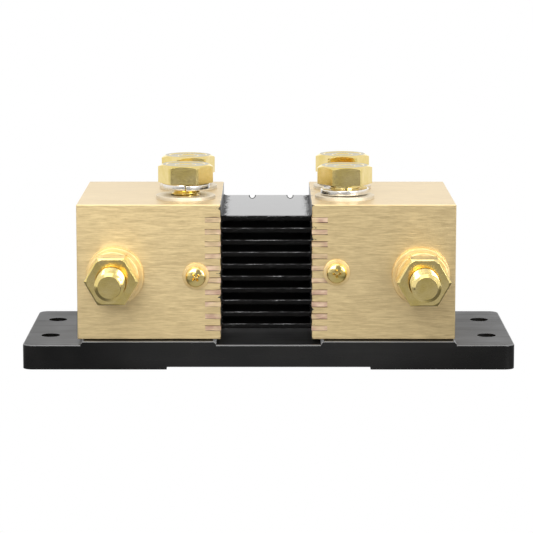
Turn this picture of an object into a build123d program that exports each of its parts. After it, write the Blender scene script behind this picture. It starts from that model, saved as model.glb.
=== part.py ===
from build123d import *
import os

# High-current shunt: two brass terminal blocks bridged by ten flat manganin resistor plates, on a
# moulded base plate. Millimetres. The origin is the centre of the base's underside, where the
# diagonals of its four mounting holes cross. +X runs along the length, +Y to the back, +Z up.

# Base plate
base_length = 169.0
base_depth = 66.0
base_height = 8.65
base_corner_radius = 3.5
base_edge_radius = 0.6
foot_inner_x = 35.0  # the underside rests on two feet, from here to each end
foot_height = 0.9
pad_inner_x = 18.0  # the low pads under the blocks, measured at their foot
pad_outer_x = 64.5
pad_height = 1.2
pad_end_slope = 1.0
pad_edge_radius = 0.5
seat_inner_x = 21.0  # the seats inside the pads, which the blocks stand on
seat_outer_x = 61.5
seat_depth = 58.0
seat_height = 0.3
mount_spacing_x = 152.4
mount_spacing_y = 30.5
mount_hole_radius = 3.25

# Terminal blocks, placed from the middle of the brass assembly
assembly_x = -0.8
assembly_y = 1.0
block_gap = 31.1
block_length = 49.2
block_depth = 64.0
block_height = 46.6
block_edge = 0.25
block_bottom = base_height + pad_height + seat_height
block_top = block_bottom + block_height
block_front = assembly_y - block_depth / 2
block_back = assembly_y + block_depth / 2
block_x = (block_gap + block_length) / 2

# Resistor plates, brazed into slots in the inner faces of the blocks
plate_count = 10
plate_thickness = 1.75
plate_pitch = 4.17
plate_depth = 55.0
plate_embedding = 5.35
lowest_plate_z = 14.0
notch_width = 1.9  # two calibration cuts in the rear edge of the top plate
notch_depth = 8.4
notch_xs = (-5.9, 7.8)

# M10 hardware: hexagon bolts, nuts and washers
m10_radius = 5.0
m10_pitch = 1.5
m10_end_chamfer = 1.0
bolt_head_flats = 17.0
bolt_head_corner_radius = 9.55  # the corners are turned off to this radius
bolt_head_height = 6.4
head_chamfer_depth = 1.0
nut_flats = 16.0
nut_corner_radius = 9.25
nut_height = 8.4
nut_chamfer_depth = 0.5
running_clearance = 0.05
washer_bore_radius = 5.25
spring_bore_radius = 5.1
spring_split = 1.6

# Terminal bolts: a row of two on top of each block
terminal_row_x = 27.6  # from the middle of the hole pattern
terminal_pattern_x = -1.2
terminal_row_y = 14.0
terminal_shank = 25.0
terminal_hole_depth = 24.0
terminal_washer_radius = 10.3
terminal_washer_thickness = 1.3
terminal_spring_thickness = 2.0
terminal_spring_radius = 8.35
# For each terminal: the height of the bolt head's underside, how far the head is turned, and
# whether its spring washer clings to the head or lies on the flat washer.
terminals = {
    "left_front": (-1, -1, 62.3, -3.6, True),
    "right_front": (1, -1, 61.9, 5.1, False),
    "left_rear": (-1, 1, 62.3, 10.0, False),
    "right_rear": (1, 1, 62.7, -1.0, False),
}

# Side bolts: each runs through its block from the back, with its nut at the front
side_bolt_xs = {"left": 52.3, "right": 53.3}
side_bolt_zs = {"left": 32.2, "right": 31.85}
side_bolt_length = 90.0
side_hole_radius = 5.25
side_washer_radius = 9.95
side_washer_bore_radius = 5.6
side_washer_thickness = 2.0
# How far each front washer sits off its bolt's axis, in x and z
side_washer_slips = {"left": (0.5, 0.0), "right": (-0.45, 0.32)}
side_spring_thickness = 2.5
side_spring_radius = 9.05

# M4 sense screws on the front of the blocks
sense_x = 24.05
sense_zs = {"left": 32.15, "right": 33.45}
sense_radius = 2.0
sense_length = 8.0
sense_head_radius = 3.5
sense_head_height = 2.6
sense_head_edge = 0.6
sense_hole_depth = 9.0
sense_recess_length = 4.0
sense_recess_width = 0.9
sense_recess_depth = 1.5
sense_washer_radius = 4.5
sense_washer_bore_radius = 2.15
sense_washer_thickness = 0.8

# Screws that hold the blocks down, from counterbores in the underside of the base
fixing_screw_y = 20.0
fixing_screw_radius = 2.5
fixing_head_radius = 4.25
fixing_head_height = 4.0
fixing_bore_radius = 4.75
fixing_bore_depth = 4.6
fixing_clearance_radius = 2.75
fixing_screw_length = 16.0
fixing_hole_depth = 14.0
hex_key_flats = 4.0
hex_key_depth = 2.2

sides = {"left": -1, "right": 1}


def block_middle(side):
    return assembly_x + sides[side] * block_x


def fixing_places(side):
    middle = block_middle(side)
    return [(middle, assembly_y - fixing_screw_y), (middle, assembly_y + fixing_screw_y)]


def plate_z(number):
    return lowest_plate_z + (number - 1) * plate_pitch


def terminal_place(name):
    x_sign, y_sign = terminals[name][:2]
    return terminal_pattern_x + x_sign * terminal_row_x, assembly_y + y_sign * terminal_row_y


def save(builder, name):
    builder.part.label = name
    export_step(builder.part, f"parts/{name}.step")


def make_base_plate():
    half_depth = base_depth / 2
    pad_top = base_height + pad_height
    with BuildPart() as base:
        with BuildSketch():
            RectangleRounded(base_length, base_depth, base_corner_radius)
        extrude(amount=base_height)
        fillet(base.edges().group_by(Axis.Z)[-1], base_edge_radius)
        # A shallow relief leaves the plate standing on its two ends
        with BuildSketch():
            Rectangle(2 * foot_inner_x, base_depth)
        extrude(amount=foot_height, mode=Mode.SUBTRACT)
        # Raised pads with short sloping ends, as wide as the plate
        for sign in sides.values():
            with BuildSketch(Plane.XZ):
                with BuildLine():
                    Polyline(
                        (sign * pad_inner_x, base_height - base_edge_radius),
                        (sign * pad_inner_x, base_height),
                        (sign * (pad_inner_x + pad_end_slope), pad_top),
                        (sign * (pad_outer_x - pad_end_slope), pad_top),
                        (sign * pad_outer_x, base_height),
                        (sign * pad_outer_x, base_height - base_edge_radius),
                        close=True,
                    )
                make_face()
            extrude(amount=half_depth, both=True)
        fillet(base.edges().filter_by(Axis.X).group_by(Axis.Z)[-1], pad_edge_radius)
        # Seats that lift the blocks clear of the pads
        seat_length = seat_outer_x - seat_inner_x
        seat_middle = (seat_outer_x + seat_inner_x) / 2
        with BuildSketch(Plane.XY.offset(pad_top)):
            with Locations((-seat_middle, assembly_y), (seat_middle, assembly_y)):
                Rectangle(seat_length, seat_depth)
        extrude(amount=seat_height)
        # Four mounting holes at the ends
        with BuildSketch():
            with GridLocations(mount_spacing_x, mount_spacing_y, 2, 2):
                Circle(mount_hole_radius)
        extrude(amount=base_height, mode=Mode.SUBTRACT)
        # Counterbored holes for the screws that hold the blocks
        for side in sides:
            with BuildSketch():
                with Locations(*fixing_places(side)):
                    Circle(fixing_clearance_radius)
            extrude(amount=block_bottom, mode=Mode.SUBTRACT)
            with BuildSketch():
                with Locations(*fixing_places(side)):
                    Circle(fixing_bore_radius)
            extrude(amount=fixing_bore_depth, mode=Mode.SUBTRACT)
    save(base, "base_plate")


def make_terminal_block(side):
    sign = sides[side]
    middle = block_middle(side)
    inner_face = middle - sign * block_length / 2
    slot_middle = inner_face + sign * plate_embedding / 2
    thread_radius = m10_radius + running_clearance
    back_plane = Plane.XZ.offset(-block_back)
    with BuildPart() as block:
        with BuildSketch(Plane.XY.offset(block_bottom)):
            with Locations((middle, assembly_y)):
                Rectangle(block_length, block_depth)
        extrude(amount=block_height)
        chamfer(block.edges(), block_edge)
        # Slots for the plates, sawn right through from front to back
        with BuildSketch(back_plane):
            for number in range(1, plate_count + 1):
                with Locations((slot_middle, plate_z(number))):
                    Rectangle(plate_embedding, plate_thickness)
        extrude(amount=block_depth, mode=Mode.SUBTRACT)
        # Tapped holes for the terminal bolts, from the top
        places = [terminal_place(name) for name in terminals if name.startswith(side)]
        with BuildSketch(Plane.XY.offset(block_top)):
            with Locations(*places):
                Circle(thread_radius)
        extrude(amount=-terminal_hole_depth, mode=Mode.SUBTRACT)
        # Clear hole for the side bolt, from front to back
        with BuildSketch(back_plane):
            with Locations((assembly_x + sign * side_bolt_xs[side], side_bolt_zs[side])):
                Circle(side_hole_radius)
        extrude(amount=block_depth, mode=Mode.SUBTRACT)
        # Tapped hole for the sense screw, from the front
        with BuildSketch(Plane.XZ.offset(-block_front)):
            with Locations((assembly_x + sign * sense_x, sense_zs[side])):
                Circle(sense_radius + running_clearance)
        extrude(amount=-sense_hole_depth, mode=Mode.SUBTRACT)
        # Tapped holes for the base's screws, from below
        with BuildSketch(Plane.XY.offset(block_bottom)):
            with Locations(*fixing_places(side)):
                Circle(fixing_screw_radius + running_clearance)
        extrude(amount=fixing_hole_depth, mode=Mode.SUBTRACT)
    save(block, f"{side}_terminal_block")


def make_resistor_plate(number):
    length = block_gap + 2 * plate_embedding
    with BuildPart() as plate:
        with BuildSketch(Plane.XY.offset(plate_z(number) - plate_thickness / 2)):
            with Locations((assembly_x, assembly_y)):
                Rectangle(length, plate_depth)
            if number == plate_count:
                # Half-oval calibration cuts, open at the rear edge
                rear = assembly_y + plate_depth / 2
                with Locations(*[(x, rear) for x in notch_xs]):
                    Ellipse(notch_width / 2, notch_depth, mode=Mode.SUBTRACT)
        extrude(amount=plate_thickness)
    save(plate, f"resistor_plate_{number:02d}")


def make_braze_seams(side):
    """The braze that fills each slot's two ends, flush with the block's front and back."""
    sign = sides[side]
    inner_face = block_middle(side) - sign * block_length / 2
    seam_middle = inner_face + sign * plate_embedding / 2
    plate_front = assembly_y - plate_depth / 2
    seam_depth = plate_front - block_front
    with BuildPart() as seams:
        for seam_start in (plate_front, block_back):
            with BuildSketch(Plane.XZ.offset(-seam_start)):
                for number in range(1, plate_count + 1):
                    with Locations((seam_middle, plate_z(number))):
                        Rectangle(plate_embedding, plate_thickness)
            extrude(amount=seam_depth)
    save(seams, f"{side}_braze_seams")


def hexagon(plane, flats, corner_radius, height, depth, turn=0.0, chamfer_both=False):
    """A hexagonal head or nut blank on a plane, its corners turned off by a chamfered cylinder."""
    inner = corner_radius - 1.8 * depth
    start = (inner, 0) if chamfer_both else (corner_radius, 0)
    profile = [(0, 0), start]
    if chamfer_both:
        profile.append((corner_radius, depth))
    profile += [(corner_radius, height - depth), (inner, height), (0, height)]
    side_plane = Plane(origin=plane.origin, x_dir=plane.x_dir, z_dir=-plane.y_dir)
    with BuildPart() as blank:
        with BuildSketch(plane):
            RegularPolygon(flats / 2, 6, major_radius=False, rotation=turn)
        extrude(amount=height)
        with BuildSketch(side_plane):
            with BuildLine():
                Polyline(*profile, close=True)
            make_face()
        revolve(axis=Axis(plane.origin, plane.z_dir), mode=Mode.INTERSECT)
    return blank.part


def shank(plane, radius, length, end_chamfer):
    """A shank that runs from a plane against its normal, with a chamfered end."""
    side_plane = Plane(origin=plane.origin, x_dir=plane.x_dir, z_dir=-plane.y_dir)
    with BuildPart() as rod:
        with BuildSketch(side_plane):
            with BuildLine():
                Polyline(
                    (0, 0),
                    (radius, 0),
                    (radius, end_chamfer - length),
                    (radius - end_chamfer, -length),
                    (0, -length),
                    close=True,
                )
            make_face()
        revolve(axis=Axis(plane.origin, plane.z_dir))
    return rod.part


def make_ring(name, plane, outer_radius, bore_radius, thickness, split=0.0, split_turn=0.0):
    """A washer standing on a plane. A spring washer is split by a cut through one side."""
    with BuildPart() as ring:
        with BuildSketch(plane):
            Circle(outer_radius)
            Circle(bore_radius, mode=Mode.SUBTRACT)
            if split:
                with Locations(Rotation(0, 0, split_turn)):
                    with Locations((outer_radius, 0)):
                        Rectangle(2 * (outer_radius - bore_radius) + 2, split, mode=Mode.SUBTRACT)
        extrude(amount=thickness)
    save(ring, name)


def make_bolt(name, head_plane, length, turn):
    """An M10 bolt whose head stands on a plane and whose shank runs the other way."""
    head = hexagon(
        head_plane, bolt_head_flats, bolt_head_corner_radius, bolt_head_height, head_chamfer_depth, turn)
    rod = shank(head_plane, m10_radius, length, m10_end_chamfer)
    with BuildPart() as bolt:
        add(head)
        add(rod)
    save(bolt, name)


def make_terminal(name):
    underside, turn, clings = terminals[name][2:]
    x, y = terminal_place(name)
    washer_top = block_top + terminal_washer_thickness
    make_bolt(f"{name}_terminal_bolt", Plane(origin=(x, y, underside)), terminal_shank, turn)
    spring_z = underside - terminal_spring_thickness if clings else washer_top
    make_ring(
        f"{name}_spring_washer",
        Plane(origin=(x, y, spring_z)),
        terminal_spring_radius,
        spring_bore_radius,
        terminal_spring_thickness,
        split=spring_split,
        split_turn=120,
    )
    make_ring(
        f"{name}_flat_washer",
        Plane(origin=(x, y, block_top)),
        terminal_washer_radius,
        washer_bore_radius,
        terminal_washer_thickness,
    )


def make_side_bolt(side):
    x = assembly_x + sides[side] * side_bolt_xs[side]
    z = side_bolt_zs[side]

    def facing_back(y):
        return Plane(origin=(x, y, z), x_dir=(1, 0, 0), z_dir=(0, 1, 0))

    def facing_front(y):
        return Plane(origin=(x, y, z), x_dir=(1, 0, 0), z_dir=(0, -1, 0))

    head_plane = facing_back(block_back + side_washer_thickness)
    make_bolt(f"{side}_side_bolt", head_plane, side_bolt_length, 0)
    make_ring(
        f"{side}_side_rear_washer",
        facing_back(block_back),
        side_washer_radius,
        side_washer_bore_radius,
        side_washer_thickness,
    )
    slip_x, slip_z = side_washer_slips[side]
    make_ring(
        f"{side}_side_flat_washer",
        Plane(origin=(x + slip_x, block_front, z + slip_z), x_dir=(1, 0, 0), z_dir=(0, -1, 0)),
        side_washer_radius,
        side_washer_bore_radius,
        side_washer_thickness,
    )
    spring_y = block_front - side_washer_thickness
    make_ring(
        f"{side}_side_spring_washer",
        facing_front(spring_y),
        side_spring_radius,
        spring_bore_radius,
        side_spring_thickness,
        split=spring_split,
        split_turn=70,
    )
    nut_plane = facing_front(spring_y - side_spring_thickness)
    nut_blank = hexagon(
        nut_plane, nut_flats, nut_corner_radius, nut_height, nut_chamfer_depth, chamfer_both=True)
    with BuildPart() as nut:
        add(nut_blank)
        with BuildSketch(nut_plane):
            Circle(m10_radius + running_clearance)
        extrude(amount=nut_height, mode=Mode.SUBTRACT)
    save(nut, f"{side}_side_nut")


def make_sense_screw(side):
    x = assembly_x + sides[side] * sense_x
    z = sense_zs[side]
    block_plane = Plane(origin=(x, block_front, z), x_dir=(1, 0, 0), z_dir=(0, -1, 0))
    head_plane = block_plane.offset(sense_washer_thickness)
    rod = shank(head_plane, sense_radius, sense_length, sense_radius / 5)
    with BuildPart() as screw:
        with BuildSketch(head_plane):
            Circle(sense_head_radius)
        extrude(amount=sense_head_height)
        fillet(screw.edges().group_by(Axis.Y)[0], sense_head_edge)
        with BuildSketch(head_plane.offset(sense_head_height)):
            Rectangle(sense_recess_length, sense_recess_width)
            Rectangle(sense_recess_width, sense_recess_length)
        extrude(amount=-sense_recess_depth, mode=Mode.SUBTRACT)
        add(rod)
    save(screw, f"{side}_sense_screw")
    make_ring(
        f"{side}_sense_washer",
        block_plane,
        sense_washer_radius,
        sense_washer_bore_radius,
        sense_washer_thickness,
    )


def make_base_screws(side):
    """Two socket-head screws that hold a block down, their heads sunk in the base."""
    head_top = fixing_bore_depth
    with BuildPart() as screws:
        with BuildSketch(Plane.XY.offset(head_top - fixing_head_height)):
            with Locations(*fixing_places(side)):
                Circle(fixing_head_radius)
        extrude(amount=fixing_head_height)
        with BuildSketch(Plane.XY.offset(head_top)):
            with Locations(*fixing_places(side)):
                Circle(fixing_screw_radius)
        extrude(amount=fixing_screw_length)
        with BuildSketch(Plane.XY.offset(head_top - fixing_head_height)):
            with Locations(*fixing_places(side)):
                RegularPolygon(hex_key_flats / 2, 6, major_radius=False)
        extrude(amount=hex_key_depth, mode=Mode.SUBTRACT)
    save(screws, f"{side}_base_screws")


os.makedirs("parts", exist_ok=True)
make_base_plate()
for number in range(1, plate_count + 1):
    make_resistor_plate(number)
for side in sides:
    make_terminal_block(side)
    make_braze_seams(side)
    make_side_bolt(side)
    make_sense_screw(side)
    make_base_screws(side)
for name in terminals:
    make_terminal(name)
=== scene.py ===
import bmesh
import bpy
import math
from mathutils import Matrix, Vector, noise


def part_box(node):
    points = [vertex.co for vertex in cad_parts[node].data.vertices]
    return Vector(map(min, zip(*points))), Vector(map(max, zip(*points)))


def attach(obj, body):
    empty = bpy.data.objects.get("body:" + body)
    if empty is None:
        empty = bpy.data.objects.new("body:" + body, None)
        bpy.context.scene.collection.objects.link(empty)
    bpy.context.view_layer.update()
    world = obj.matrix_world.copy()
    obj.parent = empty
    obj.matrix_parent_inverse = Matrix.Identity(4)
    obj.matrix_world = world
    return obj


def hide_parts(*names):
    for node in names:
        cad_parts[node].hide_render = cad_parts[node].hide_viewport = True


# A high-current shunt: brass blocks, lacquered resistor plates and brass hardware on a black
# moulded base. Metres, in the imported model's frame. MM turns millimetres into metres.
MM = 0.001
TAU = 2 * math.pi

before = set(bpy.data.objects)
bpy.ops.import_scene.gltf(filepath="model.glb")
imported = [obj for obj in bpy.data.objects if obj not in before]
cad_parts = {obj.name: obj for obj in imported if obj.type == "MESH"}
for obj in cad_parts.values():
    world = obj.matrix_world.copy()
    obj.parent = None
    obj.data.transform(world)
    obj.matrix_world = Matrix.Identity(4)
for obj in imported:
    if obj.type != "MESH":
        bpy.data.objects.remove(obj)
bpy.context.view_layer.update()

SIDES = {"left": -1, "right": 1}
PLATE_COUNT = 10

# M10 hardware
HEAD_FLATS = 17.0 * MM
HEAD_CORNER = 9.55 * MM
HEAD_HEIGHT = 6.4 * MM
HEAD_CHAMFER_START = 8.05 * MM  # the radius where the top's chamfer begins
HEAD_DISH = 0.35 * MM
HEAD_BEVEL = 0.09 * MM
NUT_FLATS = 16.0 * MM
NUT_CORNER = 9.2 * MM
NUT_CHAMFER_START = 8.7 * MM
NUT_RIM = 0.45 * MM  # the even chamfer round the nut's free face
NUT_BEVEL = 0.08 * MM
NUT_CLEARANCE = 0.05 * MM  # between the nut's bore and the bolt
NUT_FLARE = 0.30 * MM
CORNER_SLOPE = 30.0  # the slope of the turned-off corners, in degrees
M10_RADIUS = 5.0 * MM
M10_PITCH = 1.5 * MM
M10_THREAD_DEPTH = 0.92 * MM
M10_TIP_RADIUS = 3.75 * MM
M10_STEPS = 40
SIDE_THREAD_LENGTH = 27.0 * MM
PLAIN_NECK = 1.5 * MM  # the part without a thread under each terminal bolt's head

# M4 sense screws
M4_RADIUS = 2.0 * MM
M4_PITCH = 0.7 * MM
M4_THREAD_DEPTH = 0.43 * MM
M4_TIP_RADIUS = 1.5 * MM
M4_STEPS = 28
SENSE_LENGTH = 8.0 * MM
SENSE_EDGE = 1.0 * MM  # the radius of the pan head's edge
SENSE_CROWN = 0.35 * MM
SENSE_FOOT = 0.1 * MM  # the chamfer under the pan head
SENSE_BEVEL = 0.03 * MM
SENSE_STEPS = 64
RECESS_ARM = 1.55 * MM
RECESS_HALF_WIDTH = 0.46 * MM
RECESS_DEPTH = 1.5 * MM
RECESS_TAPER = (1.08, 0.45)  # the cross's size just above the head's top, and at the floor

# Washers
SIDE_WASHER_BORE = 5.6 * MM
TERMINAL_WASHER_BORE = 5.25 * MM
SENSE_WASHER_BORE = 2.15 * MM
WASHER_STEPS = 96
SPRING_BORE = 5.1 * MM
SPRING_CORNER = 0.45 * MM
SPRING_BEVEL = 0.04 * MM
SPRING_GAP = 0.05  # the width of a split, in radians
SPRING_STEPS = 120

NOTCH_XS = (-5.9 * MM, 7.8 * MM)  # two calibration cuts in the rear edge of the top plate
NOTCH_WIDTH = 1.9 * MM
NOTCH_DEPTH = 8.4 * MM
NOTCH_RIM_WIDTH = 0.35 * MM  # the dull rim round each cut, beside it
NOTCH_RIM_LENGTH = 2.2 * MM  # and in front of it
SEAM_LENGTH = 5.35 * MM  # how far each plate runs into its block
PLATE_STEPS = 168
NOTCH_STEPS = 24

# How far each terminal bolt's head is turned about its axis, in degrees
HEAD_TURNS = {"left_front": -3.6, "right_front": 5.1, "left_rear": 10.0, "right_rear": -1.0}

# How far each sense screw's recess is turned, in degrees
RECESS_TURNS = {"left": 35.0, "right": 3.0}

# Where each terminal's spring washer is split, in degrees about its axis, and how far one end of it
# stands away from the flat ring: above it, or below it where the distance is negative
TERMINAL_SPRINGS = {
    "left_front": (-88, -0.25 * MM),
    "right_front": (150, 0.8 * MM),
    "left_rear": (30, 0.8 * MM),
    "right_rear": (150, 0.8 * MM),
}
SIDE_SPRING_SPLIT = 58

# The studio, as reflections see it: white all round, but dimmer in front of the object and brighter
# behind it. Each direction has the cosines of two angles off it: the change starts at the first
# and is complete at the second.
BRIGHT_ROOM = 0.95
DIM_ROOM = 0.30
DIM_DIRECTION = (0.0, -0.985, 0.17)
DIM_COSINES = (0.84, 0.965)
BACKDROP = 0.28  # how much brighter the backdrop is, just above the horizon behind the object
BACKDROP_DIRECTION = (0.0, 0.99, 0.14)
BACKDROP_COSINES = (0.90, 0.96)
FLOOR = 0.95
FLOOR_SIZE = 8.0
PATCH_MIDDLE = 0.62  # the share of a patch's reach where it is even
# Patches of floor that are dimmer or brighter: centre, reach, and how much each adds in its middle
FLOOR_PATCHES = (
    ((0.0, -0.36, 0.0), (0.60, 0.52, 1.0), -0.68),
    ((0.0, -0.20, 0.0), (0.35, 0.10, 1.0), 0.16),
    ((0.0, -0.05, 0.0), (0.40, 0.08, 1.0), -0.12),
    ((0.0, -0.07, 0.0), (0.07, 0.06, 1.0), 0.30),
)

# The lights: name, place, width in metres, and power in watts
LIGHTS = (
    ("overhead", (-0.10, -0.25, 0.80), 0.65, 1.5),
    ("key", (-0.26, -0.84, 0.46), 0.45, 3.7),
    ("fill", (0.62, -0.72, 0.34), 0.50, 4.6),
)
LIGHT_TARGET = (0, 0, 0.03)

CAMERA_LENS = 163.85
CAMERA_SENSOR = 36.0
CAMERA_PLACE = (0.0, -0.84925, 0.1666)
CAMERA_DOWN = 9.103  # how far it looks down, in degrees
CAMERA_TURN = 0.05  # how far it is turned to the left, in degrees


# ---------------------------------------------------------------- node helpers

def add_node(tree, kind, **settings):
    made = tree.nodes.new(kind)
    for key, value in settings.items():
        setattr(made, key, value)
    return made


def map_range(tree, value, low, high, start, end, curve="LINEAR"):
    """Value from low to high becomes start to end, and is clamped."""
    made = add_node(tree, "ShaderNodeMapRange", interpolation_type=curve)
    tree.links.new(value, made.inputs["Value"])
    limits = {"From Min": low, "From Max": high, "To Min": start, "To Max": end}
    for key, number in limits.items():
        made.inputs[key].default_value = number
    return made.outputs["Result"]


# ---------------------------------------------------------------- materials

class Shader:
    """A material's node tree, with short calls for the nodes that the materials below share."""

    def __init__(self, name):
        self.material = bpy.data.materials.new(name)
        self.material.use_nodes = True
        self.tree = self.material.node_tree
        self.bsdf = self.tree.nodes["Principled BSDF"]

    def set(self, **values):
        for key, value in values.items():
            self.bsdf.inputs[key].default_value = value

    def node(self, kind, **settings):
        return add_node(self.tree, kind, **settings)

    def link(self, source, target):
        self.tree.links.new(source, target)

    def place(self, scale=(1.0, 1.0, 1.0)):
        """The point on the object at rest, in metres, multiplied by a scale."""
        coordinates = self.node("ShaderNodeTexCoord")
        mapping = self.node("ShaderNodeMapping")
        mapping.inputs["Scale"].default_value = scale
        self.link(coordinates.outputs["Object"], mapping.inputs["Vector"])
        return mapping.outputs["Vector"]

    def noise(self, scale, stretch=(1.0, 1.0, 1.0), detail=3.0, roughness=0.55):
        texture = self.node("ShaderNodeTexNoise")
        texture.inputs["Scale"].default_value = scale
        texture.inputs["Detail"].default_value = detail
        texture.inputs["Roughness"].default_value = roughness
        self.link(self.place(stretch), texture.inputs["Vector"])
        return texture.outputs["Fac"]

    def ramp(self, value, low, high, start=0.0, end=1.0):
        return map_range(self.tree, value, low, high, start, end)

    def fill(self, socket, value):
        """Gives a socket a number, a colour or another socket's output."""
        if isinstance(value, (int, float)):
            socket.default_value = value
        elif isinstance(value, tuple):
            socket.default_value = (*value, 1.0)
        else:
            self.link(value, socket)

    def math(self, operation, first, second=0.0):
        made = self.node("ShaderNodeMath", operation=operation)
        self.fill(made.inputs[0], first)
        self.fill(made.inputs[1], second)
        return made.outputs["Value"]

    def blend(self, factor, first, second):
        """Mixes two colours. The Mix node keeps its colours in sockets 6 and 7."""
        made = self.node("ShaderNodeMix", data_type="RGBA")
        self.link(factor, made.inputs["Factor"])
        self.fill(made.inputs[6], first)
        self.fill(made.inputs[7], second)
        return made.outputs[2]

    def mix_number(self, factor, first, second):
        """Mixes two numbers. The Mix node keeps its numbers in sockets 2 and 3."""
        made = self.node("ShaderNodeMix", data_type="FLOAT")
        self.link(factor, made.inputs[0])
        self.fill(made.inputs[2], first)
        self.fill(made.inputs[3], second)
        return made.outputs[0]

    def axis(self, source, index):
        """One component of a vector."""
        made = self.node("ShaderNodeSeparateXYZ")
        self.link(source, made.inputs["Vector"])
        return made.outputs[index]

    def normal(self):
        return self.node("ShaderNodeNewGeometry").outputs["Normal"]

    def upward(self):
        """How nearly a surface faces up: 1 on a top, 0 on a wall and -1 on an underside."""
        return self.axis(self.normal(), 2)

    def bump(self, height, distance, strength=1.0, normal=None):
        made = self.node("ShaderNodeBump")
        made.inputs["Strength"].default_value = strength
        made.inputs["Distance"].default_value = distance
        self.link(height, made.inputs["Height"])
        if normal is not None:
            self.link(normal, made.inputs["Normal"])
        return made.outputs["Normal"]

    def into(self, socket, source):
        self.link(source, self.bsdf.inputs[socket])


def brushed_brass(name, inner_face_x, toward_gap):
    """Pale brass brushed along X on the front, top and back, and along Y on the ends.

    The face towards the plates is painted black, and the paint strays over its edges here and
    there. The seams of the plates have thin dark stains along them.
    """
    s = Shader(name)
    s.set(Metallic=1.0, Anisotropic=0.50)
    normal = s.normal()
    on_end = s.ramp(s.math("ABSOLUTE", s.axis(normal, 0)), 0.6, 0.8)
    along_x = s.noise(2600.0, (0.08, 1.0, 1.0), 4.0, 0.7)
    along_y = s.noise(2600.0, (1.0, 0.08, 1.0), 4.0, 0.7)
    streaks = s.mix_number(on_end, along_x, along_y)
    wide = s.noise(110.0, (0.4, 1.0, 1.0), 2.0, 0.5)
    tone = s.math("ADD", s.math("MULTIPLY", streaks, 0.85), s.math("MULTIPLY", wide, 0.15))
    grain = s.ramp(tone, 0.38, 0.62)
    on_top = s.ramp(s.axis(normal, 2), 0.7, 0.9)
    # Painted shade: the tops get a darker, greyer brass colour than the front, back and ends
    brass = s.blend(
        on_top,
        s.blend(grain, (0.78, 0.60, 0.315), (0.93, 0.735, 0.40)),
        s.blend(grain, (0.66, 0.535, 0.34), (0.78, 0.645, 0.43)))
    rough = s.mix_number(
        on_top,
        s.ramp(streaks, 0.3, 0.7, 0.32, 0.44),
        s.ramp(streaks, 0.3, 0.7, 0.36, 0.48))
    # Brushing spreads a reflection across the strokes
    across = s.node("ShaderNodeVectorMath", operation="CROSS_PRODUCT")
    s.link(normal, across.inputs[0])
    s.link(s.blend(on_end, (1.0, 0.0, 0.0), (0.0, 1.0, 0.0)), across.inputs[1])
    s.into("Tangent", across.outputs[0])

    # Stains beside each seam: a thin line above and below the plate's slot, broken into patches
    seam_margin = 0.1 * MM
    stain_offset = 0.04 * MM
    stain_width = 0.13 * MM
    stack_margin = 0.3 * MM
    place = s.place()
    depth = s.math("MULTIPLY", s.math("SUBTRACT", s.axis(place, 0), inner_face_x), -toward_gap)
    seam = s.math("LESS_THAN", depth, SEAM_LENGTH + seam_margin)
    plate_low, plate_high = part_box("resistor_plate_01")
    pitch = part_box("resistor_plate_02")[0][2] - plate_low[2]
    stack_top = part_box(f"resistor_plate_{PLATE_COUNT:02d}")[1][2]
    first_middle = (plate_low[2] + plate_high[2]) / 2
    from_plate = s.math("PINGPONG", s.math("SUBTRACT", s.axis(place, 2), first_middle), pitch / 2)
    half = (plate_high[2] - plate_low[2]) / 2
    beside = s.math("ABSOLUTE", s.math("SUBTRACT", from_plate, half + stain_offset))
    stain = s.math("MULTIPLY", s.math("LESS_THAN", beside, stain_width), seam)
    in_stack = s.math("LESS_THAN", s.axis(place, 2), stack_top + stack_margin)
    patchy = s.ramp(s.noise(230.0, (0.4, 1.0, 1.6), 3.0), 0.47, 0.58)
    stain = s.math("MULTIPLY", s.math("MULTIPLY", stain, in_stack), patchy)
    stained = s.blend(stain, brass, (0.30, 0.15, 0.09))
    # Black paint: solid on the inner face, ragged where it strays round the edges, and here and
    # there a longer run
    ragged = s.noise(520.0, (0.5, 1.0, 1.0), 5.0, 0.7)
    fringe = s.ramp(ragged, 0.40, 0.60, 0.03 * MM, 0.14 * MM)
    long_run = s.ramp(ragged, 0.60, 0.70, 0.0, 2.2 * MM)
    paint = s.math("LESS_THAN", depth, s.math("ADD", fringe, long_run))
    s.into("Base Color", s.blend(paint, stained, (0.010, 0.010, 0.010)))
    s.into("Roughness", s.mix_number(paint, rough, 0.30))
    s.into("Metallic", s.mix_number(paint, 1.0, 0.0))
    s.into("Normal", s.bump(streaks, 0.02 * MM, 0.5))
    return s.material


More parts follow.
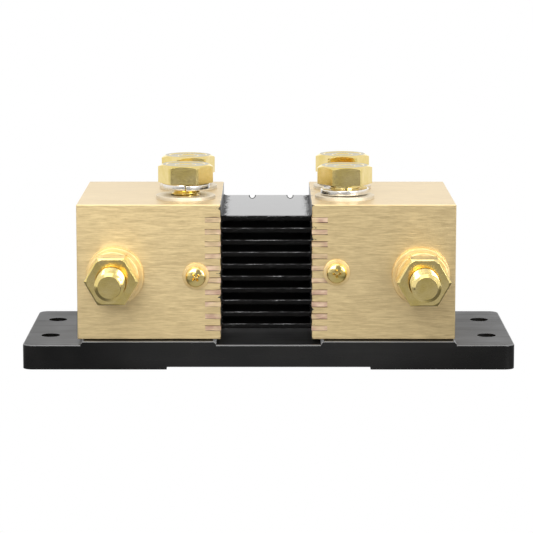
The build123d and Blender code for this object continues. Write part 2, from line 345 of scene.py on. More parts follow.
def black_lacquer(name, top_plate):
    """Gloss black lacquer where the spray could reach, and a dull strip inside the stack, whose low
    IOR paints shade there.

    The top plate is glossy all over its upper face, except for a dry, speckled edge at the blocks
    and a dull rim round each calibration cut.
    """
    s = Shader(name)
    dull_rough = 0.7
    # The low IORs paint shade inside the stack and on the front face, and the high glint IOR paints
    # a glint on the upper edge
    stack_shade_ior = 1.12
    front_shade_ior = 1.26
    flat_ior = 1.48
    glint_ior = 2.8
    upward = s.upward()
    mottle = s.noise(260.0, (0.5, 1.0, 1.0), 3.0)
    black = s.blend(s.ramp(mottle, 0.4, 0.7), (0.0010, 0.0009, 0.0008), (0.0026, 0.0021, 0.0017))
    s.into("Base Color", black)
    gloss = s.ramp(mottle, 0.3, 0.7, 0.05, 0.09)
    inside = s.math("MULTIPLY", upward, -1.0) if top_plate else s.math("ABSOLUTE", upward)
    dull = s.ramp(inside, 0.85, 0.97)
    edges = s.ramp(s.math("ABSOLUTE", upward), 0.9, 0.7)
    runs = s.noise(420.0, (0.35, 1.0, 1.0), 5.0, 0.7)
    # Painted glint and shade: the rounded upper edge gets a high IOR where the lacquer has run, so
    # it glints, and the front face gets a low IOR, so it looks darker
    glint = s.ramp(runs, 0.46, 0.70, 1.28, glint_ior)
    front = s.mix_number(s.ramp(upward, 0.15, 0.4), front_shade_ior, glint)
    s.into("IOR", s.mix_number(dull, s.mix_number(edges, flat_ior, front), stack_shade_ior))
    peel = s.bump(s.math("MULTIPLY", runs, edges), 0.5 * MM, 0.8)
    gloss = s.mix_number(dull, gloss, dull_rough)
    if not top_plate:
        s.into("Roughness", gloss)
        s.into("Normal", peel)
        return s.material
    left_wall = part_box("left_terminal_block")[1][0]
    right_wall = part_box("right_terminal_block")[0][0]
    x = s.axis(s.place(), 0)
    from_left = s.math("SUBTRACT", x, left_wall)
    from_right = s.math("SUBTRACT", right_wall, x)
    speckle = s.noise(1300.0, (0.5, 1.0, 1.0), 5.0, 0.75)
    dry_reach = s.ramp(speckle, 0.40, 0.64, 0.0, 3.2 * MM)
    dry = s.math("LESS_THAN", s.math("MINIMUM", from_left, from_right), dry_reach)
    # A dull half-oval round each calibration cut
    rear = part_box(f"resistor_plate_{PLATE_COUNT:02d}")[1][1]
    from_rear = s.math("SUBTRACT", rear, s.axis(s.place(), 1))
    along = s.math("DIVIDE", from_rear, NOTCH_DEPTH + NOTCH_RIM_LENGTH)
    for notch_x in NOTCH_XS:
        from_notch = s.math("SUBTRACT", x, notch_x)
        across = s.math("DIVIDE", from_notch, NOTCH_WIDTH / 2 + NOTCH_RIM_WIDTH)
        span = s.math("ADD", s.math("MULTIPLY", across, across), s.math("MULTIPLY", along, along))
        dry = s.math("MAXIMUM", dry, s.math("LESS_THAN", span, 1.0))
    s.into("Roughness", s.mix_number(dry, gloss, dull_rough))
    s.into("Normal", s.bump(s.math("MULTIPLY", dry, speckle), 0.6 * MM, 1.0, peel))
    return s.material


def overspray():
    """Rough dried paint that built up where the plates enter the blocks."""
    s = Shader("overspray")
    grain = s.noise(1800.0, detail=4.0, roughness=0.7)
    black = s.blend(s.ramp(grain, 0.35, 0.7), (0.004, 0.004, 0.004), (0.03, 0.029, 0.028))
    s.into("Base Color", black)
    s.into("Roughness", s.ramp(grain, 0.3, 0.7, 0.35, 0.7))
    s.into("Normal", s.bump(grain, 0.25 * MM, 0.8))
    return s.material


def moulded_plastic():
    """Black phenolic moulding with a fine satin grain, faint rub marks and a painted highlight:
    grey on its rounded edges.
    """
    s = Shader("moulded_plastic")
    s.set(IOR=1.47)
    cloud = s.noise(45.0)
    rubs = s.noise(500.0, (0.06, 1.0, 1.0), 3.0)
    black = s.blend(s.ramp(cloud, 0.35, 0.7), (0.0035, 0.0035, 0.0035), (0.0065, 0.006, 0.0055))
    upward = s.upward()
    # Painted highlight: the rounded edges between the walls and the tops get a grey colour
    edge_highlight_mask = s.math("MULTIPLY", s.ramp(upward, 0.15, 0.4), s.ramp(upward, 0.97, 0.85))
    s.into("Base Color", s.blend(edge_highlight_mask, black, (0.15, 0.15, 0.15)))
    on_top = s.ramp(upward, 0.9, 0.98)
    side_satin = s.ramp(cloud, 0.3, 0.7, 0.22, 0.30)
    top_satin = s.ramp(cloud, 0.3, 0.7, 0.38, 0.48)
    satin = s.mix_number(on_top, side_satin, top_satin)
    s.into("Roughness", s.math("ADD", satin, s.ramp(rubs, 0.5, 0.8, 0.0, 0.08)))
    grain = s.noise(3500.0, detail=2.0)
    s.into("Normal", s.bump(grain, 0.02 * MM, 0.35))
    return s.material


def braze_metal():
    """Coppery braze filed flush, with small pits."""
    s = Shader("braze_metal")
    s.set(Metallic=1.0)
    blotch = s.noise(700.0, (0.5, 1.0, 1.0), 3.0)
    copper = s.blend(s.ramp(blotch, 0.35, 0.65), (0.80, 0.52, 0.38), (0.92, 0.69, 0.50))
    brassy = s.ramp(s.noise(150.0, (1.0, 1.0, 1.3), 1.0), 0.42, 0.60, 0.0, 0.65)
    s.into("Base Color", s.blend(brassy, copper, (0.87, 0.68, 0.38)))
    s.into("Roughness", s.ramp(blotch, 0.3, 0.7, 0.34, 0.5))
    pits = s.noise(2600.0, (0.3, 1.0, 1.0), 3.0)
    s.into("Normal", s.bump(pits, 0.03 * MM, 0.5))
    return s.material


def turned_metal(name, low, high, rough_low, rough_high, top_shade_and_dulling=0.0):
    """Bright metal with faint tool marks, a little uneven in colour and gloss.

    top_shade_and_dulling is how far its upper faces go towards a rougher finish and a darker,
    greyer colour, which is painted shade.
    """
    s = Shader(name)
    s.set(Metallic=1.0)
    cloud = s.noise(220.0)
    marks = s.noise(1500.0, roughness=0.6)
    colour = s.blend(s.ramp(cloud, 0.35, 0.65), low, high)
    rough = s.ramp(marks, 0.3, 0.7, rough_low, rough_high)
    if top_shade_and_dulling:
        # Painted shade: the upper faces get a darker, greyer colour, and a rougher finish
        dull = s.ramp(s.upward(), 0.95, 0.99, 0.0, top_shade_and_dulling)
        colour = s.blend(dull, colour, (0.50, 0.46, 0.34))
        rough = s.mix_number(dull, rough, 0.40)
    s.into("Base Color", colour)
    s.into("Roughness", rough)
    s.into("Normal", s.bump(marks, 0.03 * MM, 0.5))
    return s.material


# ---------------------------------------------------------------- mesh helpers

def frame_at(origin, axis):
    """A matrix whose Z runs along an axis that is square to X. Its X stays the frame's X."""
    z = Vector(axis).normalized()
    x = Vector((1, 0, 0))
    y = z.cross(x)
    matrix = Matrix((x, y, z)).transposed().to_4x4()
    matrix.translation = Vector(origin)
    return matrix


def finish_piece(name, verts, faces, material, matrix, body, node,
                 bevel=0.0, sharp=20.0, merge=0.002):
    """Makes a mesh object from local points, rides it on a body and replaces its CAD node.

    Edges sharper than sharp, in degrees, are bevelled, and points closer than merge, in
    millimetres, become one.
    """
    mesh = bpy.data.meshes.new(name)
    mesh.from_pydata([matrix @ Vector(v) for v in verts], [], faces)
    bm = bmesh.new()
    bm.from_mesh(mesh)
    bmesh.ops.remove_doubles(bm, verts=bm.verts, dist=merge * MM)
    bmesh.ops.dissolve_degenerate(bm, edges=bm.edges, dist=merge / 2 * MM)
    bmesh.ops.recalc_face_normals(bm, faces=bm.faces)
    if bevel:
        edges = [e for e in bm.edges if e.is_manifold and e.calc_face_angle() > math.radians(sharp)]
        bmesh.ops.bevel(bm, geom=edges, offset=bevel, segments=2, affect="EDGES", profile=0.5,
                        clamp_overlap=True)
    bm.to_mesh(mesh)
    bm.free()
    mesh.polygons.foreach_set("use_smooth", [True] * len(mesh.polygons))
    mesh.set_sharp_from_angle(angle=math.radians(sharp))
    mesh.materials.append(material)
    piece = bpy.data.objects.new(name, mesh)
    bpy.context.scene.collection.objects.link(piece)
    flatten_normals(piece)
    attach(piece, body)
    if node:
        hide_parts(node)
    return piece


def flatten_normals(piece):
    """Lets large faces set the shading, so that they stay flat beside their rounded edges."""
    modifier = piece.modifiers.new("flat", "WEIGHTED_NORMAL")
    modifier.keep_sharp = True
    modifier.weight = 80  # of 100, towards the larger faces
    evaluated = piece.evaluated_get(bpy.context.evaluated_depsgraph_get())
    piece.data = bpy.data.meshes.new_from_object(evaluated)
    piece.modifiers.clear()


def grid_faces(rows, columns, closed_rows=False, closed_columns=True, first=0):
    """Quads over a grid of points stored row by row."""
    faces = []
    for r in range(rows if closed_rows else rows - 1):
        for c in range(columns if closed_columns else columns - 1):
            row = first + r * columns
            next_row = first + (r + 1) % rows * columns
            right = (c + 1) % columns
            faces.append((row + c, row + right, next_row + right, next_row + c))
    return faces


def capped_tube(verts, width):
    """Faces round rows of points, with a cap on the first row and one on the last."""
    faces = grid_faces(len(verts) // width, width)
    faces.append(tuple(range(width)))
    faces.append(tuple(len(verts) - width + i for i in reversed(range(width))))
    return faces


def slab_faces(first, rows, columns):
    """Faces over two grids of points, one behind the other, and round their border."""
    size = rows * columns
    faces = []
    for layer in (0, 1):
        faces += grid_faces(rows, columns, closed_columns=False, first=first + layer * size)
    border = (list(range(columns))
              + [r * columns + columns - 1 for r in range(1, rows)]
              + [(rows - 1) * columns + c for c in reversed(range(columns - 1))]
              + [r * columns for r in reversed(range(1, rows - 1))])
    for a, b in zip(border, border[1:] + border[:1]):
        faces.append((first + a, first + b, first + size + b, first + size + a))
    return faces


def hexagon_sides(flats, corner, turn, flat_steps=8, corner_steps=3):
    """(angle, radius) pairs round a hexagon whose corners are turned off to a radius."""
    half_flat = math.acos(flats / 2 / corner)
    corner_angle = TAU / 6 - 2 * half_flat
    sides = []
    for k in range(6):
        flat_middle = TAU * (k + 0.5) / 6 + math.radians(turn)
        for i in range(flat_steps + 1):
            angle = half_flat * (2 * i / flat_steps - 1)
            sides.append((flat_middle + angle, flats / 2 / math.cos(angle)))
        for i in range(1, corner_steps):
            sides.append((flat_middle + half_flat + corner_angle * i / corner_steps, corner))
    return sides


def circle(radius, z, steps):
    """Points round a circle at a height."""
    angles = [TAU * i / steps for i in range(steps)]
    return [(radius * math.cos(a), radius * math.sin(a), z) for a in angles]


def arc_points(centre, radius, start, end, steps):
    """Points on an arc in a profile, from one angle in degrees to another."""
    cx, cz = centre
    angles = [math.radians(start + (end - start) * i / steps) for i in range(steps + 1)]
    return [(cx + radius * math.cos(a), cz + radius * math.sin(a)) for a in angles]


def lathe(profile, steps, closed=True):
    """A turned surface from a profile of (radius, height) points. A closed one makes a ring."""
    verts = []
    for radius, z in profile:
        verts += circle(radius, z, steps)
    return verts, grid_faces(len(profile), steps, closed_rows=closed)


def rounded_section(inner, outer, low, high, radius, steps=3):
    """A rectangle in a profile, with rounded corners."""
    corners = (
        ((outer - radius, low + radius), -90, 0),
        ((outer - radius, high - radius), 0, 90),
        ((inner + radius, high - radius), 90, 180),
        ((inner + radius, low + radius), 180, 270),
    )
    points = []
    for centre, start, end in corners:
        points += arc_points(centre, radius, start, end, steps)
    return points


def threaded_rod(radius, depth, pitch, length, tip_radius, steps):
    """A threaded rod, from its full-diameter end at 0 down to its chamfered tip at -length.

    The grid follows the thread, so its crest and root stay crisp. Both ends close on circles.
    """
    # Across one turn: the share of the pitch, and how far the surface is sunk there
    section = ((0.0, depth), (0.25, depth), (0.5625, 0.0), (0.6875, 0.0))
    turns = math.ceil(length / pitch) + 2
    tip_start = length - (radius - tip_radius)
    rows = turns * steps + 1
    verts = []
    for i in range(rows):
        angle = TAU * i / steps
        for share, sunk in section:
            z = (i / steps - 1.5 + share) * pitch
            z = min(max(z, 0.0), length)
            fade = min(z / pitch, 1.0)
            r = min(radius - sunk * fade, radius + tip_start - z)
            verts.append((r * math.cos(angle), r * math.sin(angle), z))
    width = len(section)
    faces = []
    for i in range(rows - 1):
        for k in range(width - 1):
            a = i * width + k
            faces.append((a, a + 1, a + 1 + width, a + width))
        last = (i + 1) * width - 1
        next_turn = (i + steps) * width
        if next_turn + width < len(verts):
            faces.append((last, next_turn, next_turn + width, last + width))
    first = len(verts)
    verts += circle(tip_radius, length, steps)
    faces.append(tuple(range(first, first + steps)))
    return [(x, -y, -z) for x, y, z in verts], faces


def hexagon_blank(flats, corner, height, chamfer_start,
                  turn=0.0, both=False, bore=0.0, dish=0.0, rim=0.0):
    """A hexagonal head from its underside at 0 to its chamfered top, or a nut with a bore.

    Both is for corners turned off at the underside too, and rim is the width of an even chamfer
    all round the top face.
    """
    slope = math.tan(math.radians(CORNER_SLOPE))
    sides = hexagon_sides(flats, corner, turn)

    def ring(radius_of, height_of):
        return [(radius_of(r) * math.cos(a), radius_of(r) * math.sin(a), height_of(r))
                for a, r in sides]

    rows = []
    if bore:
        rows.append(ring(lambda r: bore, lambda r: NUT_FLARE))
        rows.append(ring(lambda r: bore + NUT_FLARE, lambda r: 0.0))
    else:
        rows.append(ring(lambda r: 0.0, lambda r: 0.0))
    if both:
        rows.append(ring(lambda r: min(r, chamfer_start), lambda r: 0.0))
        rows.append(ring(lambda r: r, lambda r: max(0.0, r - chamfer_start) * slope))
    else:
        rows.append(ring(lambda r: r, lambda r: 0.0))
    rows.append(ring(lambda r: r, lambda r: height - max(0.0, r - chamfer_start) * slope - rim))
    rows.append(ring(lambda r: min(r, chamfer_start) - rim, lambda r: height))
    if bore:
        rows.append(ring(lambda r: bore + NUT_FLARE, lambda r: height))
        rows.append(ring(lambda r: bore, lambda r: height - NUT_FLARE))
    else:
        # A shallow dish with a small boss round its middle, left by the turning tool: each step's
        # share of the top face's radius, and its share of the dish's depth
        steps = ((0.84, 0.0), (0.80, 0.6), (0.46, 0.8), (0.42, 0.2), (0.30, 0.1), (0.26, 0.9))
        for share, sunk in steps:
            rows.append(ring(lambda r, f=share: f * chamfer_start,
                             lambda r, f=sunk: height - f * dish))
        rows.append(ring(lambda r: 0.0, lambda r: height - 0.5 * dish))
    verts = [v for row in rows for v in row]
    return verts, grid_faces(len(rows), len(sides), closed_rows=bool(bore))


def joined(*parts):
    """Several (points, faces, lift) meshes as one. Each is raised by its lift."""
    verts, faces = [], []
    for part_verts, part_faces, lift in parts:
        first = len(verts)
        verts += [(x, y, z + lift) for x, y, z in part_verts]
        faces += [tuple(first + i for i in face) for face in part_faces]
    return verts, faces


# ---------------------------------------------------------------- the object's pieces

def middle(node):
    low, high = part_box(node)
    return (Vector(low) + Vector(high)) / 2


def ring_measures(node, axis):
    """The radius and thickness of a washer's CAD box, and the middle of its underside."""
    low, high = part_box(node)
    along = [i for i in range(3) if axis[i]][0]
    across = (along + 1) % 3
    radius = (high[across] - low[across]) / 2
    thickness = high[along] - low[along]
    base = middle(node) - Vector(axis) * thickness / 2
    return radius, thickness, base


def bolt_mesh(length, thread_length, turn):
    """An M10 bolt. Its head rises from 0 and its shank goes down to -length."""
    head_verts, head_faces = hexagon_blank(
        HEAD_FLATS, HEAD_CORNER, HEAD_HEIGHT, HEAD_CHAMFER_START, turn, dish=HEAD_DISH)
    thread_verts, thread_faces = threaded_rod(
        M10_RADIUS, M10_THREAD_DEPTH, M10_PITCH, thread_length, M10_TIP_RADIUS, M10_STEPS)
    neck = length - thread_length
    neck_profile = ((M10_RADIUS, 0.0), (M10_RADIUS, -neck))
    neck_verts, neck_faces = lathe(neck_profile, M10_STEPS, closed=False)
    return joined((head_verts, head_faces, 0.0), (thread_verts, thread_faces, -neck),
                  (neck_verts, neck_faces, 0.0))


def make_terminal_bolt(name, material):
    node = f"{name}_terminal_bolt"
    low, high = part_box(node)
    x, y, _ = middle(node)
    underside = high[2] - HEAD_HEIGHT
    length = underside - low[2]
    verts, faces = bolt_mesh(length, length - PLAIN_NECK, HEAD_TURNS[name])
    finish_piece(f"{name}_hex_bolt", verts, faces, material, frame_at((x, y, underside), (0, 0, 1)),
                 f"{name}_bolt", node, bevel=HEAD_BEVEL)


def make_side_bolt(side, material):
    node = f"{side}_side_bolt"
    low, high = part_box(node)
    x, _, z = middle(node)
    head_under = high[1] - HEAD_HEIGHT
    verts, faces = bolt_mesh(head_under - low[1], SIDE_THREAD_LENGTH, 0.0)
    finish_piece(f"{side}_long_bolt", verts, faces, material,
                 frame_at((x, head_under, z), (0, 1, 0)), "root", node,
                 bevel=HEAD_BEVEL)


def make_nut(side, material):
    node = f"{side}_side_nut"
    low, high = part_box(node)
    x, _, z = middle(node)
    verts, faces = hexagon_blank(
        NUT_FLATS, NUT_CORNER, high[1] - low[1], NUT_CHAMFER_START, both=True,
        bore=M10_RADIUS + NUT_CLEARANCE, rim=NUT_RIM)
    finish_piece(f"{side}_hex_nut", verts, faces, material, frame_at((x, high[1], z), (0, -1, 0)),
                 f"{side}_nut", node, bevel=NUT_BEVEL)


def make_flat_washer(node, axis, body, material, bore):
    """A stamped washer: one edge is rounded by the die, and the other stays crisp."""
    radius, thickness, base = ring_measures(node, axis)
    soft, crisp = 0.22 * thickness, 0.06 * thickness
    section = (
        arc_points((radius - crisp, crisp), crisp, -90, 0, 2)
        + arc_points((radius - soft, thickness - soft), soft, 0, 90, 4)
        + arc_points((bore + soft, thickness - soft), soft, 90, 180, 4)
        + arc_points((bore + crisp, crisp), crisp, 180, 270, 2)
    )
    verts, faces = lathe(section, WASHER_STEPS)
    finish_piece(node.replace("washer", "ring"), verts, faces, material, frame_at(base, axis), body,
                 node)


def make_spring_washer(node, axis, body, material, split_turn, twist):
    """A split ring of square wire. Twist is how far its end stands away from its flat start.

    A negative twist hangs the start of the ring below its flat end instead.
    """
    radius, thickness, base = ring_measures(node, axis)
    section = rounded_section(SPRING_BORE, radius, 0.0, thickness, SPRING_CORNER)
    start = math.radians(split_turn) + SPRING_GAP / 2
    verts = []
    for i in range(SPRING_STEPS + 1):
        share = i / SPRING_STEPS
        a = start + (TAU - SPRING_GAP) * share
        lift = twist * (share if twist > 0 else 1 - share)
        for r, z in section:
            verts.append((r * math.cos(a), r * math.sin(a), z + lift))
    faces = capped_tube(verts, len(section))
    finish_piece(node.replace("washer", "ring"), verts, faces, material, frame_at(base, axis), body,
                 node, bevel=SPRING_BEVEL, sharp=50)


def make_sense_screw(side, material):
    """A pan-head screw with a tapered cross recess."""
    node = f"{side}_sense_screw"
    low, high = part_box(node)
    x, _, z = middle(node)
    radius = (high[0] - low[0]) / 2
    height = (high[1] - low[1]) - SENSE_LENGTH
    head_under = low[1] + height
    shoulder = height - SENSE_CROWN
    flat_radius = radius - SENSE_EDGE
    profile = [(0.0, 0.0), (radius - SENSE_FOOT, 0.0), (radius, SENSE_FOOT)]
    profile += arc_points((flat_radius, shoulder - SENSE_EDGE), SENSE_EDGE, 0, 75, 5)
    for step in range(1, 6):
        share = 1 - step / 5
        profile.append((flat_radius * share, height - SENSE_CROWN * share ** 2))
    head = cut_cross(*lathe(profile, SENSE_STEPS, closed=False), height, RECESS_TURNS[side])
    thread = threaded_rod(
        M4_RADIUS, M4_THREAD_DEPTH, M4_PITCH, SENSE_LENGTH, M4_TIP_RADIUS, M4_STEPS)
    verts, faces = joined((*head, 0.0), (*thread, 0.0))
    finish_piece(f"{side}_cross_screw", verts, faces, material,
                 frame_at((x, head_under, z), (0, -1, 0)), f"{side}_sense", node,
                 bevel=SENSE_BEVEL)


def cut_cross(verts, faces, top, turn):
    """The head's mesh with a cross recess cut into it, its arms narrower at the bottom."""
    cutter_mesh = cross_cutter(top, math.radians(turn))
    objects = []
    for name, points, polygons in (("head", verts, faces), ("cutter", *cutter_mesh)):
        mesh = bpy.data.meshes.new(name)
        mesh.from_pydata(points, [], polygons)
        bm = bmesh.new()
        bm.from_mesh(mesh)
        bmesh.ops.remove_doubles(bm, verts=bm.verts, dist=0.001 * MM)
        bmesh.ops.recalc_face_normals(bm, faces=bm.faces)
        bm.to_mesh(mesh)
        bm.free()
        made = bpy.data.objects.new(name, mesh)
        bpy.context.scene.collection.objects.link(made)
        objects.append(made)
    head, cutter = objects
    boolean = head.modifiers.new("recess", "BOOLEAN")
    boolean.operation = "DIFFERENCE"
    boolean.object = cutter
    boolean.solver = "EXACT"
    evaluated = head.evaluated_get(bpy.context.evaluated_depsgraph_get())
    result = bpy.data.meshes.new_from_object(evaluated)
    points = [tuple(v.co) for v in result.vertices]
    polygons = [tuple(p.vertices) for p in result.polygons]
    for made in objects:
        bpy.data.objects.remove(made)
    bpy.data.meshes.remove(result)
    return points, polygons


def cross_cutter(top, turn):
    """A tapered cross, from above the head's top down to the recess's floor."""
    arm, width = RECESS_ARM, RECESS_HALF_WIDTH
    outline = (
        (arm, -width), (arm, width), (width, width),
        (width, arm), (-width, arm), (-width, width),
        (-arm, width), (-arm, -width), (-width, -width),
        (-width, -arm), (width, -arm), (width, -width),
    )
    turned = [(x * math.cos(turn) - y * math.sin(turn), x * math.sin(turn) + y * math.cos(turn))
              for x, y in outline]
    verts = []
    for scale, z in zip(RECESS_TAPER, (top + 0.3 * MM, top - RECESS_DEPTH)):
        verts += [(x * scale, y * scale, z) for x, y in turned]
    return verts, capped_tube(verts, len(outline))


def plate_section(front, rear, low, high, radii):
    """A strip's outline in (y, z). Its four rounded edges have radii of their own."""
    front_low, rear_low, rear_high, front_high = radii
    return (
        arc_points((rear - rear_low, low + rear_low), rear_low, -90, 0, 4)
        + arc_points((rear - rear_high, high - rear_high), rear_high, 0, 90, 4)
        + arc_points((front + front_high, high - front_high), front_high, 90, 180, 4)
        + arc_points((front + front_low, low + front_low), front_low, 180, 270, 4)
    )


def rear_edge(x, rear):
    """The top plate's rear edge, which steps in at two half-oval calibration cuts."""
    for middle_x in NOTCH_XS:
        across = x - middle_x
        if abs(across) < NOTCH_WIDTH / 2:
            return rear - NOTCH_DEPTH * math.sqrt(1 - (2 * across / NOTCH_WIDTH) ** 2)
    return rear


def plate_stations(low_x, high_x, notched):
    """The places along X where a plate's outline is drawn, closer together in each notch."""
    length = high_x - low_x
    stations = [low_x + length * i / PLATE_STEPS for i in range(PLATE_STEPS + 1)]
    if notched:
        half = NOTCH_WIDTH / 2
        for middle_x in NOTCH_XS:
            stations = [x for x in stations if abs(x - middle_x) > half]
            stations += [middle_x - half * math.cos(math.pi * i / NOTCH_STEPS)
                         for i in range(NOTCH_STEPS + 1)]
        stations.sort()
    return stations


def edge_radii(x, number):
    """The radii of a plate's four edges, in metres, where the lacquer wanders and beads.

    The upper front edge, where the most lacquer gathered, comes last.
    """
    radii = []
    for edge, size in enumerate((0.22, 0.22, 0.22, 0.36)):
        wander = noise.fractal(Vector((x * 260, number * 5.3, edge * 3.1)), 0.9, 2.1, 3)
        beads = noise.noise(Vector((x * 1300, number * 2.9, edge * 7.7)))
        radii.append((size + 0.12 * max(-1.0, min(1.0, wander)) + 0.08 * beads) * MM)
    return radii


def make_plate(number, material):
    """A resistor strip whose lacquer has gathered unevenly along its edges."""
    node = f"resistor_plate_{number:02d}"
    low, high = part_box(node)
    notched = number == PLATE_COUNT
    stations = plate_stations(low[0], high[0], notched)
    verts = []
    for x in stations:
        rear = rear_edge(x, high[1]) if notched else high[1]
        bulge = noise.fractal(Vector((x * 330, number * 9.7, 4.0)), 0.9, 2.1, 3)
        front = low[1] + (0.04 + 0.05 * max(-0.8, min(0.8, bulge))) * MM
        outline = plate_section(front, rear, low[2], high[2], edge_radii(x, number))
        verts += [(x, y, z) for y, z in outline]
    faces = capped_tube(verts, len(verts) // len(stations))
    finish_piece(f"lacquered_plate_{number:02d}", verts, faces, material, Matrix.Identity(4),
                 "root", node, sharp=45, merge=0.0001)


def make_braze(side, material):
    """The filled slot ends: soft-edged pads, each a little uneven, just inside their slots."""
    node = f"{side}_braze_seams"
    low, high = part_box(node)
    strip_low, strip_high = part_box("resistor_plate_01")
    ends = ((strip_low[1], low[1]), (strip_high[1], high[1]))
    columns, rows = 18, 7
    sunk = 0.03 * MM
    verts, faces = [], []
    for number in range(1, PLATE_COUNT + 1):
        plate_low, plate_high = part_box(f"resistor_plate_{number:02d}")
        z_middle = (plate_low[2] + plate_high[2]) / 2
        half = (plate_high[2] - plate_low[2]) / 2
        for inner_y, outer_y in ends:
            facing = 1 if outer_y > inner_y else -1
            faces += slab_faces(len(verts), rows, columns)
            for layer, y in ((0, inner_y), (1, outer_y)):
                for r in range(rows):
                    v = 2 * r / (rows - 1) - 1
                    for c in range(columns):
                        x = low[0] + (high[0] - low[0]) * (c / (columns - 1))
                        wander = noise.noise(Vector((x * 420, number * 7.1, facing * 3.3 + v)))
                        z = z_middle + v * half * (0.89 + 0.09 * wander)
                        swell = 0.04 * MM * noise.noise(Vector((x * 700, z * 700, facing * 9.0)))
                        verts.append((x, y + facing * (swell - sunk) * layer, z))
    finish_piece(f"{side}_braze_fill", verts, faces, material, Matrix.Identity(4), "root", node)


def make_overspray(side, material):
    """Ragged fillets of paint where each plate's top meets the block."""
    sign = SIDES[side]
    block_low, block_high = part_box(f"{side}_terminal_block")
    wall = block_high[0] if sign < 0 else block_low[0]
    across, along = 6, 220
    width = across + 1
    end_gap = 0.3 * MM  # between a fillet and each end of its plate's edge
    least_reach = 0.25 * MM
    verts, faces = [], []
    for number in range(1, PLATE_COUNT + 1):
        low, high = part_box(f"resistor_plate_{number:02d}")
        mean_reach, spread = (0.8, 0.6) if number == PLATE_COUNT else (0.6, 0.3)
        first = len(verts)
        for r in range(along + 1):
            y = low[1] + end_gap + (high[1] - low[1] - 2 * end_gap) * r / along
            ragged = noise.fractal(Vector((y * 520, number * 3.7, sign * 5.0)), 0.6, 2.2, 4)
            reach = max((mean_reach + spread * ragged) * MM, least_reach)
            rise = 0.4 * reach
            for c in range(width):
                t = c / across
                z = high[2] - 0.02 * MM + rise * (1 - t) ** 2.2
                verts.append((wall - sign * reach * t, y, z))
        faces += grid_faces(along + 1, width, closed_columns=False, first=first)
        # The underside, just inside the plate, and the walls down to it
        under = len(verts)
        for r in range(along + 1):
            for c in (0, across):
                x, y, _ = verts[first + r * width + c]
                verts.append((x, y, high[2] - 0.1 * MM))
        for r in range(along):
            a, b = under + 2 * r, under + 2 * r + 2
            faces.append((a, b, b + 1, a + 1))
            for c, corner in ((0, 0), (across, 1)):
                p, q = first + r * width + c, first + (r + 1) * width + c
                faces.append((p, q, b + corner, a + corner))
        for r in (0, along):
            row = [first + r * width + c for c in range(width)]
            faces.append(tuple(row + [under + 2 * r + 1, under + 2 * r]))
    finish_piece(f"{side}_overspray", verts, faces, material, Matrix.Identity(4), "root", None,
                 sharp=60)


def dress(node, material):
    """Gives a CAD node that keeps its shape a better material."""
    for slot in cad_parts[node].material_slots:
        slot.material = material


# ---------------------------------------------------------------- stage, light and camera

def studio_white(tree, reflected):
    """Strength 1 where the camera looks straight at the studio, and another in reflections."""
    path = add_node(tree, "ShaderNodeLightPath")
    mix = add_node(tree, "ShaderNodeMix")
    tree.links.new(path.outputs["Is Camera Ray"], mix.inputs[0])
    tree.links.new(reflected, mix.inputs[2])
    mix.inputs[3].default_value = 1.0
    return mix.outputs[0]


def floor_patch(tree, centre, reach, amount):
    """A soft oval on the floor that adds an amount in its middle and nothing outside."""
    coordinates = add_node(tree, "ShaderNodeTexCoord")
    mapping = add_node(tree, "ShaderNodeMapping", vector_type="TEXTURE")
    mapping.inputs["Location"].default_value = centre
    mapping.inputs["Scale"].default_value = reach
    distance = add_node(tree, "ShaderNodeVectorMath", operation="LENGTH")
    tree.links.new(coordinates.outputs["Object"], mapping.inputs["Vector"])
    tree.links.new(mapping.outputs["Vector"], distance.inputs[0])
    return map_range(tree, distance.outputs["Value"], PATCH_MIDDLE, 1.0, amount, 0.0, "SMOOTHSTEP")


def make_floor():
    """A white floor. In reflections it has the dimmer and brighter patches of FLOOR_PATCHES."""
    bpy.ops.mesh.primitive_plane_add(size=FLOOR_SIZE, location=(0, 0, 0))
    floor = bpy.context.object
    floor.name = "floor"
    material = bpy.data.materials.new("white_floor")
    material.use_nodes = True
    tree = material.node_tree
    tree.nodes.clear()
    output = add_node(tree, "ShaderNodeOutputMaterial")
    glow = add_node(tree, "ShaderNodeEmission")
    glow.inputs["Color"].default_value = (1.0, 1.0, 1.0, 1.0)
    seen = None
    for patch in FLOOR_PATCHES:
        total = add_node(tree, "ShaderNodeMath", operation="ADD")
        total.inputs[0].default_value = FLOOR
        if seen:
            tree.links.new(seen, total.inputs[0])
        tree.links.new(floor_patch(tree, *patch), total.inputs[1])
        seen = total.outputs["Value"]
    tree.links.new(studio_white(tree, seen), glow.inputs["Strength"])
    tree.links.new(glow.outputs[0], output.inputs["Surface"])
    floor.data.materials.append(material)


def along_direction(tree, direction):
    """The cosine of the angle between a reflection's way out and a direction."""
    coordinates = add_node(tree, "ShaderNodeTexCoord")
    product = add_node(tree, "ShaderNodeVectorMath", operation="DOT_PRODUCT")
    product.inputs[1].default_value = direction
    tree.links.new(coordinates.outputs["Generated"], product.inputs[0])
    return product.outputs["Value"]


def make_world():
    """White studio all round, dimmer in front, where the room is open, and brighter behind."""
    world = bpy.data.worlds.new("studio")
    bpy.context.scene.world = world
    world.use_nodes = True
    tree = world.node_tree
    background = tree.nodes["Background"]
    background.inputs["Color"].default_value = (1.0, 1.0, 1.0, 1.0)
    toward_front = along_direction(tree, DIM_DIRECTION)
    room = map_range(tree, toward_front, *DIM_COSINES, BRIGHT_ROOM, DIM_ROOM, "SMOOTHSTEP")
    toward_back = along_direction(tree, BACKDROP_DIRECTION)
    backdrop = map_range(tree, toward_back, *BACKDROP_COSINES, 0.0, BACKDROP, "SMOOTHSTEP")
    total = add_node(tree, "ShaderNodeMath", operation="ADD")
    tree.links.new(room, total.inputs[0])
    tree.links.new(backdrop, total.inputs[1])
    tree.links.new(studio_white(tree, total.outputs["Value"]), background.inputs["Strength"])


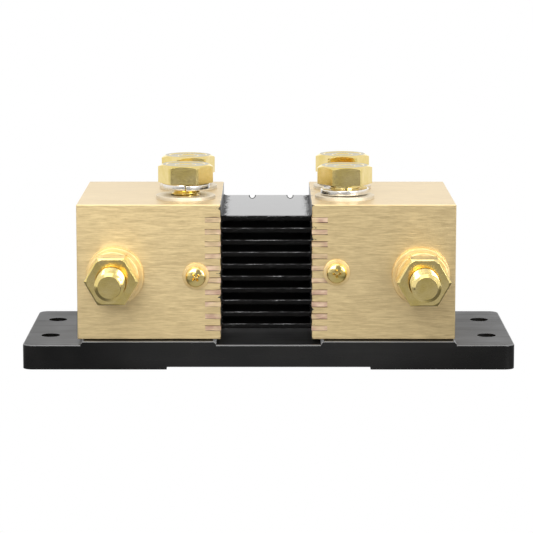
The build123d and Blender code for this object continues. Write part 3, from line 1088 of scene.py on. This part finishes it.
def make_light(name, place, size, power):
    data = bpy.data.lights.new(name, "AREA")
    data.size = size
    data.energy = power
    light = bpy.data.objects.new(name, data)
    light.location = place
    toward = Vector(LIGHT_TARGET) - Vector(place)
    light.rotation_euler = toward.to_track_quat("-Z", "Y").to_euler()
    bpy.context.scene.collection.objects.link(light)


def make_camera():
    data = bpy.data.cameras.new("camera")
    data.lens = CAMERA_LENS
    data.sensor_width = CAMERA_SENSOR
    camera = bpy.data.objects.new("camera", data)
    camera.location = CAMERA_PLACE
    camera.rotation_euler = (math.radians(90 - CAMERA_DOWN), 0.0, math.radians(CAMERA_TURN))
    bpy.context.scene.collection.objects.link(camera)
    bpy.context.scene.camera = camera


def make_side(side, fastener, brass_washer, zinc, sprayed, braze):
    """Everything on one terminal block but its two terminal bolts."""
    sign = SIDES[side]
    low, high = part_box(f"{side}_terminal_block")
    inner = high[0] if sign < 0 else low[0]
    dress(f"{side}_terminal_block", brushed_brass(f"brushed_brass_{side}", inner, -sign))
    dress(f"{side}_base_screws", zinc)
    make_braze(side, braze)
    make_overspray(side, sprayed)
    make_side_bolt(side, fastener)
    make_nut(side, fastener)
    make_flat_washer(f"{side}_side_flat_washer", (0, -1, 0), "root", brass_washer,
                     SIDE_WASHER_BORE)
    make_flat_washer(f"{side}_side_rear_washer", (0, 1, 0), "root", brass_washer,
                     SIDE_WASHER_BORE)
    make_spring_washer(f"{side}_side_spring_washer", (0, -1, 0), f"{side}_nut_ring", brass_washer,
                       SIDE_SPRING_SPLIT, 0.0)
    make_sense_screw(side, fastener)
    make_flat_washer(f"{side}_sense_washer", (0, -1, 0), f"{side}_sense_ring", brass_washer,
                     SENSE_WASHER_BORE)


def build():
    fastener = turned_metal("turned_brass", (0.84, 0.66, 0.23), (0.92, 0.74, 0.33), 0.10, 0.20, 1.0)
    brass_washer = turned_metal("stamped_brass", (0.82, 0.61, 0.28), (0.89, 0.70, 0.38), 0.44, 0.56)
    pale_washer = turned_metal("pale_washer", (0.74, 0.66, 0.52), (0.82, 0.75, 0.61), 0.50, 0.62)
    spring_steel = turned_metal(
        "bright_spring_steel", (0.86, 0.83, 0.77), (0.94, 0.91, 0.86), 0.16, 0.26)
    zinc = turned_metal("zinc_plated", (0.50, 0.51, 0.52), (0.62, 0.62, 0.62), 0.28, 0.42)
    lacquer = black_lacquer("black_lacquer", False)
    top_lacquer = black_lacquer("black_lacquer_top", True)
    sprayed = overspray()
    braze = braze_metal()
    dress("base_plate", moulded_plastic())
    for side in SIDES:
        make_side(side, fastener, brass_washer, zinc, sprayed, braze)
    for number in range(1, PLATE_COUNT + 1):
        make_plate(number, top_lacquer if number == PLATE_COUNT else lacquer)
    for name, (split_turn, twist) in TERMINAL_SPRINGS.items():
        make_terminal_bolt(name, fastener)
        make_spring_washer(f"{name}_spring_washer", (0, 0, 1), f"{name}_ring", spring_steel,
                           split_turn, twist)
        make_flat_washer(f"{name}_flat_washer", (0, 0, 1), "root", pale_washer,
                         TERMINAL_WASHER_BORE)
    make_floor()
    make_world()
    for light in LIGHTS:
        make_light(*light)
    make_camera()
    bpy.context.scene.view_settings.view_transform = "Standard"


build()
